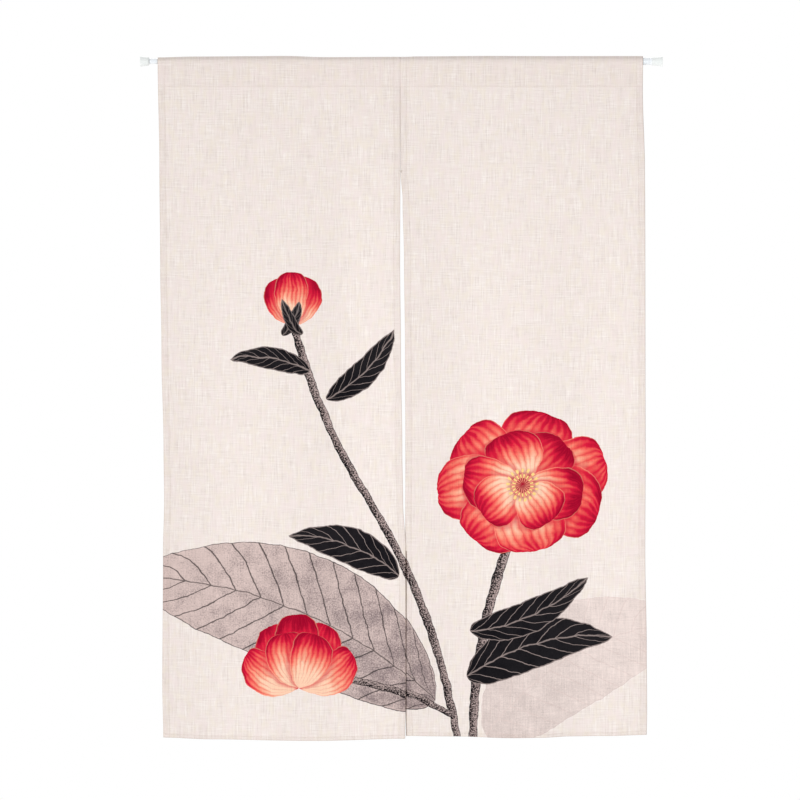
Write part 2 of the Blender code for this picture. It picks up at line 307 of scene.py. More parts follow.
FLOWERS = named(Flower, [
    ((214, -742), 150, 0.86, OPEN_PETALS, 0.17),
    ((-176, -1092), 118, 1.0, CUP_PETALS, 0.0),
    ((-188, -460), 92, 1.0, BUD_PETALS, 0.0),
])
FILAMENTS = 17
# A petal's dyes, each at its share of the depth of colour
PETAL_DYES = [(0.30, CREAM), (0.49, PEACH), (0.65, CORAL), (0.81, CRIMSON), (0.98, DEEP_RED)]


def place_in_scene(name, data, place=(SEAM_X, 0, 0)):
    thing = bpy.data.objects.new(name, data)
    thing.location = place
    bpy.context.scene.collection.objects.link(thing)
    return thing


def new_material(name):
    """A material with its tree and its shader."""
    material = bpy.data.materials.new(name)
    material.use_nodes = True
    return material, material.node_tree, material.node_tree.nodes["Principled BSDF"]


def make_camera_and_light():
    """A straight-on view through a long lens, in soft light from all round with a weak key."""
    scene = bpy.context.scene
    scene.view_settings.view_transform = "Standard"
    lens = bpy.data.cameras.new("camera")
    lens.sensor_width = SENSOR_WIDTH
    lens.lens = SENSOR_WIDTH * CAMERA_DISTANCE / PICTURE_WIDTH
    scene.camera = place_in_scene("camera", lens, Vector(PICTURE_MIDDLE) - Vector((0, CAMERA_DISTANCE, 0)))
    scene.camera.rotation_euler = (math.pi / 2, 0, 0)

    scene.world = bpy.data.worlds.new("white_studio")
    scene.world.use_nodes = True
    tree = scene.world.node_tree
    seen = Wire(add("LightPath", tree=tree).outputs["Is Camera Ray"])
    strength = seen.times_plus(1 - ROOM_LIGHT, ROOM_LIGHT)
    connect_all(tree.nodes["Background"].inputs, {"Strength": strength, "Color": WHITE})

    for lamp in SOFTBOXES:
        box = bpy.data.lights.new(lamp.name, "AREA")
        box.shape = "RECTANGLE"
        box.size, box.size_y = lamp.width, lamp.height
        box.energy = lamp.watts
        stand = place_in_scene(lamp.name, box, (SEAM_X + lamp.right, -lamp.near, lamp.up))
        stand.rotation_euler = (Vector(CLOTH_MIDDLE) - stand.location).to_track_quat("-Z", "Y").to_euler()


def make_floor():
    bpy.ops.mesh.primitive_circle_add(vertices=128, radius=FLOOR_RADIUS, fill_type="NGON")
    floor = bpy.context.active_object
    floor.name = "floor"
    floor.location = (SEAM_X, 0, FLOOR_HEIGHT)
    material, _, shader = new_material("pale_floor")
    connect_all(shader.inputs, {"Base Color": FLOOR_COLOUR, "Roughness": 0.9})
    floor.data.materials.append(material)


def between(rows, key, value, at):
    """One column of a table at many places of another, eased between its rows."""
    places = np.array([getattr(row, key) for row in rows])
    values = np.array([getattr(row, value) for row in rows])
    at = np.clip(at, places[0], places[-1])
    step = np.clip(np.searchsorted(places, at, side="right") - 1, 0, len(places) - 2)
    share = (at - places[step]) / (places[step + 1] - places[step])
    return values[step] + (values[step + 1] - values[step]) * (1 - np.cos(math.pi * share)) / 2


def unit(vectors):
    return vectors / np.linalg.norm(vectors, axis=-1, keepdims=True)


def fold_depth(folds, across, drop, length):
    """How far behind the rod's axis the hanging sheet lies."""
    below = np.maximum(0, drop - POCKET_DROP)
    depth = np.zeros_like(across)
    for fold in folds:
        grown = 1 - np.exp(-((below / fold.grown) ** 2) * math.log(2))
        fade = 1 + (fold.left_over - 1) * (below / (length - POCKET_DROP)) ** 2
        depth += fold.back * grown * fade * np.exp(-(((across - fold.across) / fold.spread) ** 2))
    return depth


class Drape:
    """The hanging surface of one panel, as a function of the place on the cloth.

    column runs from the outer edge to the slit edge. along runs up the front from the bottom edge,
    over the rod, down the back and past the pocket's stitch row to the tail.
    """

    def __init__(self, panel):
        self.panel = panel
        self.foot = -float(between(panel.bottom, "across", "height", np.array(0.0)))
        self.hang = FRONT_LENGTH
        self.flank = math.hypot(POCKET_DROP, POCKET_HALF_WIDTH)
        self.crest = math.pi * POCKET_HALF_WIDTH
        self.over = self.hang + self.flank
        self.down = self.over + self.crest
        self.stitch_back = self.down + self.flank
        self.end = self.stitch_back + POCKET_TAIL
        rng = random.Random(panel.name)
        self.ripples = [
            (
                rng.uniform(-RIPPLE_ACROSS, RIPPLE_ACROSS),
                rng.uniform(-RIPPLE_DOWN, RIPPLE_DOWN),
                rng.uniform(0, math.tau),
                rng.uniform(*RIPPLE_SIZES) * MM,
            )
            for _ in range(RIPPLES)
        ]
        self.puckers = [(rng.uniform(*PUCKER_RATES), rng.uniform(0, math.tau)) for _ in range(PUCKERS)]

    def foot_at(self, column):
        """How far below the rod's axis the bottom edge is at a column."""
        return -between(self.panel.bottom, "across", "height", self.across(column, np.array(NEAR_BOTTOM)))

    def across(self, column, drop):
        outer = between(self.panel.edges, "drop", "outer", drop)
        slit = between(self.panel.edges, "drop", "slit", drop)
        return outer + (slit - outer) * column / PANEL_WIDTH

    def crumple(self, column, drop):
        """Small unevenness: broad ripples, and puckers where the cloth is sewn."""
        depth = np.zeros_like(column)
        for right, down, start, size in self.ripples:
            depth += size * np.sin(right * column + down * drop + start)
        gather = sum(np.sin(rate * column + start) for rate, start in self.puckers) / PUCKERS
        pull = sum(np.sin(rate * drop + start) for rate, start in self.puckers) / PUCKERS
        from_side = np.minimum(column, PANEL_WIDTH - column)
        for (size, reach), waves, away in (
            (POCKET_PULL, gather, drop - POCKET_DROP),
            (HEM_PULL, gather, drop - self.foot),
            (SIDE_PULL, pull, from_side - SIDE_HEM),
        ):
            depth += size * waves * np.exp(-np.abs(away) / reach)
        return depth

    def surface(self, column, along):
        """Points of the sheet's middle surface, relative to the seam line and the rod's axis."""
        column, along = np.broadcast_arrays(np.asarray(column, float), np.asarray(along, float))
        hanging = along <= self.hang
        tail = along > self.stitch_back
        bottom = self.foot_at(column)
        share = np.clip(along / self.hang, None, 1)
        drop = np.where(hanging, bottom - share * (bottom - POCKET_DROP), POCKET_DROP)
        front = np.clip((along - self.hang) / self.flank, 0, 1)
        turn = np.clip((along - self.over) / self.crest, 0, 1) * math.pi
        back = np.clip((along - self.down) / self.flank, 0, 1)
        rising = np.where(along < self.down, front, 1 - back)
        drop = np.where(hanging, drop, POCKET_DROP * (1 - rising))
        drop = np.where(tail, POCKET_DROP + along - self.stitch_back, drop)
        across = self.across(column, drop)
        crest = between(CREST, "across", "height", across) - HEM_ALLOWANCE
        folded = fold_depth(self.panel.folds, across, drop, bottom) + self.crumple(column, drop)
        over_rod = (along > self.over) & (along < self.down)
        wrap = np.where(along < (self.over + self.down) / 2, -1, 1) * POCKET_HALF_WIDTH * rising
        depth = np.where(hanging | tail, folded, wrap + folded * (1 - rising) ** 2)
        depth = np.where(over_rod, -POCKET_HALF_WIDTH * np.cos(turn), depth)
        height = np.where(over_rod, crest * np.sin(turn), -drop)
        layered = np.where(along > self.down, TAIL_DEPTH * (1 - rising) ** 2, 0)
        return np.stack([across, depth + np.where(tail, TAIL_DEPTH, layered), height], axis=-1)

    def normal(self, column, along, step=0.5 * MM):
        """Unit normals that point to the cloth's wrong side: back, and into the pocket."""
        to_side = self.surface(column + step, along) - self.surface(column - step, along)
        upward = self.surface(column, along + step) - self.surface(column, along - step)
        return unit(-self.panel.hand * np.cross(upward, to_side))


def spaced(start, end, step):
    """Places from start up to but without end, about one step apart."""
    count = max(1, round((end - start) / step))
    return [start + (end - start) * i / count for i in range(count)]


def cloth_columns():
    """Across the cut cloth, from the free edge of one turning to that of the other."""
    near_fold = [place * MM for place in (-8, -4, -1.5, -0.5, 0, 0.5, 1.5, 4, 8)]
    side = [-SIDE_HEM + 0.5 * MM, *near_fold, SIDE_HEM - STITCH_LINE]
    inner = spaced(SIDE_HEM, PANEL_WIDTH - SIDE_HEM, CELL) + [PANEL_WIDTH - SIDE_HEM]
    return side + inner + [PANEL_WIDTH - place for place in reversed(side)]


def cloth_rows(drape):
    """Up the cut cloth, from the free edge of the bottom turning to that of the pocket's tail."""
    near_fold = [place * MM for place in (-3.2, -1.2, -0.4, 0, 0.4, 1.2, 3.2)]
    hanging = spaced(BOTTOM_HEM - STITCH_LINE, drape.hang, CELL_HANGING)
    pocket = spaced(drape.hang, drape.over, CELL) + spaced(drape.over, drape.down, CELL_OVER_ROD)
    pocket += spaced(drape.down, drape.stitch_back, CELL)
    tail = [drape.end + place for place in (*near_fold[1:-1], TAIL_TURNING)]
    return [-BOTTOM_RETURN, *near_fold, *hanging, *pocket, drape.stitch_back, *tail]


def turned_shift(past, gap=LAYER_GAP):
    """The shift of a turned layer: nothing on the face, a whole gap once folded, half at the fold."""
    return gap * np.clip(0.5 + 0.5 * past / FOLD_BEND, 0, 1)


def make_cloth(panel, materials):
    """One panel: a sheet with its turnings folded behind and its top sewn into the rod pocket."""
    drape = Drape(panel)
    columns, rows = cloth_columns(), cloth_rows(drape)
    cut_across, cut_along = np.meshgrid(np.array(columns), np.array(rows))
    column = np.abs(cut_across)
    column = np.where(column > PANEL_WIDTH, 2 * PANEL_WIDTH - column, column)
    along = np.abs(cut_along)
    along = np.where(along > drape.end, 2 * drape.end - along, along)
    hung = drape.surface(column, along)
    behind = turned_shift(-cut_across) + turned_shift(cut_across - PANEL_WIDTH) + turned_shift(-cut_along)
    behind -= turned_shift(cut_along - drape.end, TAIL_GAP)
    inner_column = np.clip(column, CLEAR_OF_FOLD, PANEL_WIDTH - CLEAR_OF_FOLD)
    points = hung + drape.normal(inner_column, np.maximum(along, CLEAR_OF_FOLD)) * behind[..., None]

    mesh = bpy.data.meshes.new(f"{panel.name}_cloth")
    grid = bmesh.new()
    made = bmesh.ops.create_grid(
        grid, x_segments=len(columns) - 1, y_segments=len(rows) - 1, size=1.0, calc_uvs=False
    )
    verts = sorted(made["verts"], key=lambda v: (round(v.co.y, 6), round(v.co.x, 6)))
    for number, (vert, place) in enumerate(zip(verts, points.reshape(-1, 3))):
        vert.co = place
        vert.index = number
    grid.verts.sort()
    grid.to_mesh(mesh)
    grid.free()

    cloth = place_in_scene(mesh.name, mesh)
    turned = np.minimum(cut_across, 0) + np.maximum(cut_across - PANEL_WIDTH, 0)
    print_x = hung[..., 0] - 2 * panel.hand * turned
    print_z = -(drape.hang + POCKET_DROP - cut_along)
    set_uv_map(mesh, "cloth_place", np.stack([print_x.ravel(), print_z.ravel()], axis=-1))
    # Each point's distances from the sewing's lines, the seam and the lap. They place the painted shade of
    # the sewn edges, the painted shadow under the lap and the stitch dents.
    from_slit = PANEL_WIDTH - column
    below_lap = -hung[..., 2] - LAP_TOP
    off_lap = np.where(below_lap < 0, -below_lap, LAP_SHADOW_FADE * below_lap)
    distances = (
        np.minimum(column, from_slit),
        along,
        along - drape.hang,
        along - drape.stitch_back,
        from_slit + np.maximum(0, -hung[..., 2] - SEAM_END),
        from_slit + (off_lap if panel.hand > 0 else 1),
    )
    for line, values in zip(SEWING_LINES, distances):
        attribute = mesh.attributes.new(line, "FLOAT", "POINT")
        attribute.data.foreach_set("value", values.ravel().astype(np.float32))

    for material in materials:
        mesh.materials.append(material)
    thicken = cloth.modifiers.new("cloth", "SOLIDIFY")
    thicken.thickness = CLOTH
    thicken.offset = 0
    thicken.material_offset = 1
    thicken.material_offset_rim = 0
    mesh.shade_smooth()
    if panel.hand > 0:
        mesh.flip_normals()
    return cloth, drape


def set_uv_map(mesh, name, places):
    """A UV map that holds each point's own place."""
    layer = mesh.uv_layers.new(name=name)
    corners = np.empty(len(mesh.loops), dtype=np.int32)
    mesh.loops.foreach_get("vertex_index", corners)
    layer.uv.foreach_set("vector", places[corners].astype(np.float32).ravel())


def operator(operation, swapped=False):
    """A method of Wire that lays down this kind of Math node."""
    return lambda *wires: math_of(operation, *(reversed(wires) if swapped else wires))


class Wire:
    """A node's output. A sum with it lays down a Math node in its own tree."""

    def __init__(self, socket):
        self.socket = socket

    __add__ = operator("ADD")
    __sub__ = operator("SUBTRACT")
    __rsub__ = operator("SUBTRACT", swapped=True)
    __mul__ = operator("MULTIPLY")
    __truediv__ = operator("DIVIDE")
    __rtruediv__ = operator("DIVIDE", swapped=True)
    __pow__ = operator("POWER")
    __abs__ = operator("ABSOLUTE")
    times_plus = operator("MULTIPLY_ADD")


def wires_of(sockets):
    return {socket.name: Wire(socket) for socket in sockets}


def connect(wire, socket):
    """Links a wire to an input, or sets the input's own value. None leaves it as it is."""
    if isinstance(wire, Wire):
        socket.id_data.links.new(wire.socket, socket)
    elif wire is not None:
        socket.default_value = wire


def connect_all(sockets, wires):
    """Connects sockets by name. A space in a name may be written as an underscore."""
    for name, wire in wires.items():
        connect(wire, sockets[name.replace("_", " ")])


def tree_of(wires):
    """The tree that these wires are in. Plain values may be among them."""
    return next(wire.socket.id_data for wire in wires if isinstance(wire, Wire))


def add(kind, *wires, tree=None, **settings):
    """A node with these settings, and its inputs in order."""
    tree = tree or tree_of(wires)
    node = tree.nodes.new("ShaderNode" + kind)
    for name, value in settings.items():
        setattr(node, name, value)
    for wire, socket in zip(wires, node.inputs):
        connect(wire, socket)
    return node


def math_of(operation, *wires):
    return Wire(add("Math", *wires, operation=operation).outputs[0])


def sine(wire):
    return math_of("SINE", wire)


def larger(first, *others):
    for other in others:
        first = math_of("MAXIMUM", first, other)
    return first


def scaled(vector, factors):
    return Wire(add("VectorMath", vector, factors, operation="MULTIPLY").outputs[0])


def parted(wire, kind="XYZ"):
    """The three parts of a place (XYZ) or a colour (Color)."""
    return [Wire(part) for part in add("Separate" + kind, wire).outputs]


def smooth(value, low, high):
    """0 up to low, 1 from high, and eased between them."""
    return Wire(add("MapRange", value, low, high, interpolation_type="SMOOTHSTEP", clamp=False).outputs[0])


def stretched(value, low, high):
    """0 at low and 1 at high, and on past both."""
    return Wire(add("MapRange", value, low, high, clamp=False).outputs[0])


def ridge(value, width):
    """1 where the value is 0, easing to 0 at so far on either side."""
    return 1.0 - smooth(abs(value), 0.0, width)


def noise(place, per_mm, detail, roughness, output="Fac"):
    """Noise with so many grains a millimetre each way."""
    node = add("TexNoise", scaled(place, per_mm))
    connect_all(node.inputs, {"Scale": 1.0, "Detail": detail, "Roughness": roughness})
    return Wire(node.outputs[output])


def mixed(factor, under, over, blend="MIX"):
    """One colour over another. On a Mix node they are inputs 6 and 7, and the result is output 2."""
    node = add("Mix", factor, *[None] * 5, under, over, data_type="RGBA", blend_type=blend)
    return Wire(node.outputs[2])


# What a socket of a group holds, by its name. All others are plain numbers.
SOCKET_KINDS = {"Place": "Vector", **dict.fromkeys(("Colour", "Under", "Light", "Dark", "Vein"), "Color")}


def new_group(name, inputs, outputs):
    """A node group with named sockets. Returns its inputs by name, and its output node for close_group."""
    tree = bpy.data.node_groups.new(name, "ShaderNodeTree")
    for side, names in (("INPUT", inputs), ("OUTPUT", outputs)):
        for socket in names:
            kind = "NodeSocket" + SOCKET_KINDS.get(socket, "Float")
            tree.interface.new_socket(socket, in_out=side, socket_type=kind)
    return wires_of(tree.nodes.new("NodeGroupInput").outputs), tree.nodes.new("NodeGroupOutput")


def close_group(result, wires):
    """Connects a group's outputs, and returns the group."""
    connect_all(result.inputs, wires)
    return result.id_data


def place_group(group, **wires):
    """One use of a group. Returns its outputs by name."""
    node = tree_of(wires.values()).nodes.new("ShaderNodeGroup")
    node.node_tree = group
    connect_all(node.inputs, wires)
    return wires_of(node.outputs)


def make_weave_group():
    """Slubby plain weave: uneven yarns both ways, dark flecks, crossings, and warmer or pinker yarns."""
    given, result = new_group("Linen weave", ["Place", "Yarn Pitch"], ["Slub", "Warmth", "Pink", "Height"])
    place = given["Place"]
    upright = noise(place, (1 / 2.2, 1 / 46, 0), 2.0, 0.7)
    level = noise(place, (1 / 36, 1 / 2.2, 0), 2.0, 0.7)
    both = upright.times_plus(1.12, level * 0.88)
    slub = stretched(both, 0.70, 1.30) - (1.0 - smooth(both, 0.57, 0.67))
    warmth, pink, _ = parted(noise(place, (1 / 13, 1 / 22, 0), 3.0, 0.6, "Color"), "Color")
    turns = math.pi / given["Yarn Pitch"]
    across, along, _ = parted(place)
    crossing = sine(across * turns) * sine(along * turns)
    return close_group(result, {
        "Slub": slub,
        "Warmth": smooth(warmth, 0.42, 0.68),
        "Pink": smooth(pink, 0.42, 0.68),
        "Height": crossing.times_plus(0.5, slub * 1.1),
    })


def make_sewn_shade_group():
    """Masks of painted shade where the cloth is doubled, pulled down by stitches, bent over the rod, joined,
    lapped or folded.
    """
    inputs = [line.replace("_", " ").title() for line in SEWING_LINES]
    outputs = ["Doubled", "Stitch Line", "Crest", "Seam", "Lap", "Fold"]
    given, result = new_group("Sewn edges", inputs, outputs)
    from_side, from_hem, past_stitch, past_back_stitch, from_seam, from_lap = (given[name] for name in inputs)
    side, bottom = 1.0 - smooth(from_side, *SIDE_DOUBLED), 1.0 - smooth(from_hem, *BOTTOM_DOUBLED)
    edge = 1.0 - smooth(math_of("MINIMUM", from_side, from_hem), *FOLD_SHADE)
    return close_group(result, {
        "Doubled": larger(side, bottom, smooth(past_stitch, *POCKET_DOUBLED)),
        "Stitch Line": larger(
            ridge(from_side - (SIDE_HEM - STITCH_LINE) / MM, HEM_PULLED),
            ridge(from_hem - (BOTTOM_HEM - STITCH_LINE) / MM, HEM_PULLED),
            ridge(past_stitch, POCKET_PULLED),
            ridge(past_back_stitch, POCKET_PULLED),
        ),
        "Crest": 1.0 - smooth(abs(past_stitch - CREST_PAST_STITCH), *CREST_SHADE),
        "Seam": 1.0 - smooth(from_seam, *SEAM_SHADE),
        "Lap": 1.0 - smooth(from_lap, *LAP_SHADOW),
        "Fold": edge * smooth(from_seam, *OFF_SEAM),
    })


OUTLINE_INPUTS = ["Right", "Up", "Foot Right", "Foot Up", "Run Right", "Run Up", "Length"]
OUTLINE_INPUTS += ["Half Width", "Bend", "Foot Fullness", "Tip Fullness"]


def make_outline_group():
    """The outline of a petal, leaf or stem: how far inside it a place is, and its place along and across.

    Run is the direction from the foot to the tip. All of it is plain numbers, which keeps the print's
    long chain of shapes within what a shader can hold.
    """
    given, result = new_group("Brushed outline", OUTLINE_INPUTS, ["Inside", "Along", "Across", "Side"])
    right, up = given["Right"] - given["Foot Right"], given["Up"] - given["Foot Up"]
    forward = up.times_plus(given["Run Up"], right * given["Run Right"])
    leftward = up * given["Run Right"] - right * given["Run Up"]
    share = forward / given["Length"]
    along = Wire(add("Clamp", share, 0.0, 1.0).outputs[0])
    beyond = abs(share - along) * given["Length"]
    left = 1.0 - along
    side = leftward - along * left * given["Bend"] * 4.0
    width = along ** given["Foot Fullness"] * left ** given["Tip Fullness"] * given["Half Width"]
    inside = width - (abs(side) + beyond)
    across = side / larger(width, 1.0)
    return close_group(result, {"Inside": inside, "Along": along, "Across": across, "Side": side})


def shape_in(outline, given):
    """The outline inside another group, and how much of the place is in it."""
    shape = place_group(outline, **{name: given[name] for name in OUTLINE_INPUTS})
    return shape, smooth(shape["Inside"], 0.0, 1.0)


def make_petal_group(outline):
    """One painted petal over what lies under it: cream at its foot, crimson at its tip, with fine streaks."""
    inputs = [*OUTLINE_INPUTS, "Blush", "Mottle", "Wash", "Under", "Under Petals"]
    given, result = new_group("Painted petal", inputs, ["Colour", "Petals"])
    shape, body = shape_in(outline, given)
    inside, across, mottle = shape["Inside"], shape["Across"], given["Mottle"]
    broad = across.times_plus(6.0, given["Wash"] * 5.0)
    narrow = sine(across.times_plus(27.0, mottle * 5.0))
    streak = narrow.times_plus(0.06, sine(broad) * 0.06)
    depth = shape["Along"] + streak + across * across * 0.2 - 0.335
    dye = add("ValToRGB", mottle.times_plus(0.26, depth) + given["Blush"])
    stops = dye.color_ramp.elements
    for stop, (position, colour) in zip(stops, (PETAL_DYES[0], PETAL_DYES[-1])):
        stop.position, stop.color = position, colour
    for position, colour in PETAL_DYES[1:-1]:
        stops.new(position).color = colour
    painted = mixed(smooth(narrow, 0.72, 1.0) * 0.28, Wire(dye.outputs["Color"]), CRIMSON)
    painted = mixed(ridge(inside - 1.2, 1.5) * 0.55, painted, PEACH)
    shadow = smooth(inside, -13.0, 0.0) * given["Under Petals"]
    under = mixed(shadow * 0.62, given["Under"], CRIMSON)
    petals = larger(given["Under Petals"], body)
    return close_group(result, {"Colour": mixed(body, under, painted), "Petals": petals})


def make_stem_group(outline):
    """One stem in ink over what lies under it: speckled, and darkest along its left edge."""
    inputs = [*OUTLINE_INPUTS, "Speckle", "Mottle", "Under", "Under Ink"]
    given, result = new_group("Inked stem", inputs, ["Colour", "Ink"])
    shape, body = shape_in(outline, given)
    shaded = shape["Across"].times_plus(0.25, given["Mottle"])
    specks = given["Speckle"].times_plus(1.4, shaded)
    washed = mixed(smooth(specks, 0.85, 1.45), STEM_LIGHT, INK)
    washed = mixed(ridge(shape["Inside"] - 1.0, 1.5) * 0.7, washed, INK)
    ink = larger(given["Under Ink"], body)
    return close_group(result, {"Colour": mixed(body, given["Under"], washed), "Ink": ink})


def make_leaf_group(outline):
    """One leaf in ink over what lies under it: mottled and speckled, with a midrib and side veins."""
    inputs = [*OUTLINE_INPUTS, *LEAF_LOOKS, "Speckle", "Mottle", "Under", "Under Ink"]
    given, result = new_group("Inked leaf", inputs, ["Colour", "Ink"])
    shape, body = shape_in(outline, given)
    inside, along, side, veins = shape["Inside"], shape["Along"], shape["Side"], given["Veins"]
    density = given["Mottle"] + along.times_plus(-0.4, 0.19)
    speckled = (given["Speckle"] - 0.5).times_plus(given["Grain"], density)
    washed = mixed(smooth(speckled, 0.22, 0.98), given["Light"], given["Dark"])
    ribs = along.times_plus(given["Ribs"], abs(shape["Across"]) * -1.9)
    side_vein = smooth(math_of("COSINE", ribs * math.tau), 0.955, 1.0)
    drawn = larger(side_vein, ridge(side, 1.9), ridge(inside - 1.4, 1.4))
    halo = larger(ridge(side, 4.6), ridge(inside - 3.4, 2.4))
    washed = mixed(halo * 0.55 * veins, washed, given["Light"])
    washed = mixed(drawn * veins, washed, given["Vein"])
    ink = larger(given["Under Ink"], body)
    return close_group(result, {"Colour": mixed(body, given["Under"], washed), "Ink": ink})


def make_heart_group():
    """A flower's heart: pale filaments on a dark ground, with gold anthers at their ends and between them."""
    inputs = ["Right", "Up", "Heart Right", "Heart Up", "Radius", "Under"]
    given, result = new_group("Flower heart", inputs, ["Colour"])
    right, up = given["Right"] - given["Heart Right"], given["Up"] - given["Heart Up"]
    out = math_of("SQRT", right.times_plus(right, up * up)) / given["Radius"]
    ray = sine(math_of("ARCTAN2", up, right) * FILAMENTS)
    filaments = smooth(ray, 0.0, 0.8) * (smooth(out, 0.08, 0.3) - smooth(out, 0.75, 0.95))
    painted = mixed((1.0 - smooth(out, 0.45, 1.3)) * 0.9, given["Under"], DEEP_RED)
    painted = mixed(filaments * 0.85, painted, PEACH)
    outer = ridge(out - 1.0, 0.2) * smooth(ray, 0.0, 0.5)
    inner = ridge(out - 0.6, 0.2) * smooth(ray * -1.0, 0.0, 0.5)
    anthers = smooth(larger(outer, inner), 0.1, 0.5)
    return close_group(result, {"Colour": mixed(anthers, painted, GOLD)})


def outline_values(foot, run, half_width, bend, fullness):
    """A motif's outline inputs, from its foot and its run to the tip."""
    heading = run.normalized()
    at_foot, at_tip = fullness
    total = at_foot + at_tip
    widest = total**total / (at_foot**at_foot * at_tip**at_tip)
    values = (*foot, *heading, run.length, half_width * widest, bend, *fullness)
    return dict(zip(OUTLINE_INPUTS[2:], values))


def make_print_group():
    """The printed spray of flowers, buds and leaves. Ink is 0 on bare cloth."""
    given, result = new_group("Printed spray", ["Place"], ["Colour", "Ink"])
    outline = make_outline_group()
    leaf, stem, petal = make_leaf_group(outline), make_stem_group(outline), make_petal_group(outline)
    heart = make_heart_group()
    place = given["Place"]
    sway_right, sway_up, wash = parted(noise(place, (1 / 24, 1 / 24, 0), 3.0, 0.5, "Color"), "Color")
    right, up, _ = parted(place)
    at = {"Right": (sway_right - 0.5).times_plus(SWAY, right), "Up": (sway_up - 0.5).times_plus(SWAY, up)}
    speckle = stretched(noise(place, (1 / 2.6, 1 / 2.6, 0), 2.0, 0.75), 0.3, 0.7)
    mottle = noise(place, (1 / 34, 1 / 34, 0), 4.0, 0.65)

    def draw_strokes(group, strokes, colour, ink):
        for foot, tip, half_width, bend, fullness, *looks in strokes:
            wires = {"Speckle": speckle, "Mottle": mottle, "Under": colour, "Under Ink": ink}
            wires.update(outline_values(foot, Vector(tip) - Vector(foot), half_width, bend, fullness))
            laid = place_group(group, **at, **wires, **dict(zip(LEAF_LOOKS, looks)))
            colour, ink = laid["Colour"], laid["Ink"]
        return colour, ink

    def draw_petals(flower, colour, ink):
        petals, radius = 0.0, flower.radius
        for part in flower.petals:
            turn = math.radians(part.turn)
            run = Vector((math.cos(turn), math.sin(turn) * flower.lean)) * part.reach * radius
            half_width, bend = part.half_width * radius, part.bend * radius
            wires = {"Blush": part.blush, "Mottle": mottle, "Wash": wash, "Under": colour}
            wires.update(outline_values(flower.heart, run, half_width, bend, PETAL_FULL))
            laid = place_group(petal, **at, **wires, Under_Petals=petals)
            colour, petals = laid["Colour"], laid["Petals"]
        return colour, larger(ink, petals)

    colour, ink = draw_strokes(leaf, BACK_LEAVES, WHITE, 0.0)
    colour, ink = draw_strokes(stem, STEMS, colour, ink)
    colour, ink = draw_strokes(leaf, DARK_LEAVES, colour, ink)
    for flower in FLOWERS:
        colour, ink = draw_petals(flower, colour, ink)
    colour, ink = draw_strokes(leaf, FRONT_LEAVES, colour, ink)
    for flower in FLOWERS:
        if flower.heart_size:
            middle = dict(zip(("Heart Right", "Heart Up"), flower.heart))
            size = flower.heart_size * flower.radius
            colour = place_group(heart, **at, **middle, Radius=size, Under=colour)["Colour"]
    return close_group(result, {"Colour": colour, "Ink": ink})


def make_linen(name, groups, print_strength):
    """Printed linen with painted shade at its sewing and seam and a painted shadow under the lap. The wrong
    side takes less of the print.
    """
    weave, sewing, spray = groups
    material, tree, shader = new_material(name)
    uv = Wire(add("UVMap", tree=tree, uv_map="cloth_place").outputs[0])
    place = scaled(uv, (1 / MM, 1 / MM, 0))
    woven = place_group(weave, Place=place, Yarn_Pitch=YARN_PITCH)
    lines = {
        line.title(): Wire(add("Attribute", tree=tree, attribute_name=line).outputs["Fac"]) * (1 / MM)
        for line in SEWING_LINES
    }
    sewn = place_group(sewing, **lines)
    slub = woven["Slub"]
    yarn = mixed(slub, LINEN_SHADE, LINEN_LIGHT)
    yarn = mixed(woven["Warmth"] * 0.6, yarn, LINEN_TAN)
    yarn = mixed(woven["Pink"] * 0.6, yarn, LINEN_PINK)
    printed = place_group(spray, Place=place)
    ink = printed["Ink"] * slub.times_plus(-0.04, 1.045) * print_strength
    dyed = mixed(1.0, printed["Colour"], slub.times_plus(0.22, 0.89), "MULTIPLY")
    cloth = mixed(ink, yarn, dyed)
    # Painted shade at the doubled cloth, stitch dimples, crest, folded edges and seam, and a painted shadow
    # under the lap
    for mask, strength, tint in PAINTED_SHADES:
        cloth = mixed(sewn[mask] * strength, cloth, tint, "MULTIPLY")
    connect_all(shader.inputs, {
        "Base Color": cloth,
        "Roughness": slub.times_plus(0.12, 0.82),
        "Specular IOR Level": 0.05,
        "Sheen Weight": 0.008,
    })
    relief = woven["Height"] * sewn["Crest"].times_plus(-0.85, 1.0)
    lay_bump(shader, sewn["Stitch Line"].times_plus(-1.2, relief), strength=0.35, distance=0.25 * MM)
    return material


def lay_bump(shader, height, strength, distance):
    bump = add("Bump", tree=shader.id_data)
    connect_all(bump.inputs, {"Strength": strength, "Distance": distance, "Height": height})
    connect(Wire(bump.outputs[0]), shader.inputs["Normal"])


def make_coat_group():
    """A smooth coat's small unevenness: broad clouding, fine pitting and thin scuffs along the rod."""
    given, result = new_group("Coat marks", ["Place"], ["Clouding", "Pitting", "Scuffs"])
    place = given["Place"]
    return close_group(result, {
        "Clouding": noise(place, (1 / 60, 1 / 9, 1 / 9), 2.0, 0.5),
        "Pitting": noise(place, (1.1, 1.1, 1.1), 3.0, 0.6),
        "Scuffs": smooth(noise(place, (1 / 14, 2.2, 2.2), 2.0, 0.7), 0.60, 0.74),
    })


def make_coat(name, coat_marks, light, shade, worn, roughness, pits):
    """The rod's gloss coat or the feet's satin plastic."""
    material, tree, shader = new_material(name)
    place = scaled(Wire(add("TexCoord", tree=tree).outputs["Object"]), (1 / MM, 1 / MM, 1 / MM))
    marks = place_group(coat_marks, Place=place)
    clouding, scuffs = marks["Clouding"], marks["Scuffs"]
    colour = mixed(smooth(clouding, 0.3, 0.7), shade, light)
    connect_all(shader.inputs, {
        "Base Color": mixed(scuffs * 0.3, colour, worn),
        "Roughness": clouding.times_plus(0.08, scuffs.times_plus(0.2, roughness)),
        "Specular IOR Level": 0.3,
        "Sheen Weight": 1.0,
        "Sheen Roughness": 0.8,
    })
    lay_bump(shader, scuffs.times_plus(-0.4, marks["Pitting"]), strength=pits, distance=0.05 * MM)
    return material


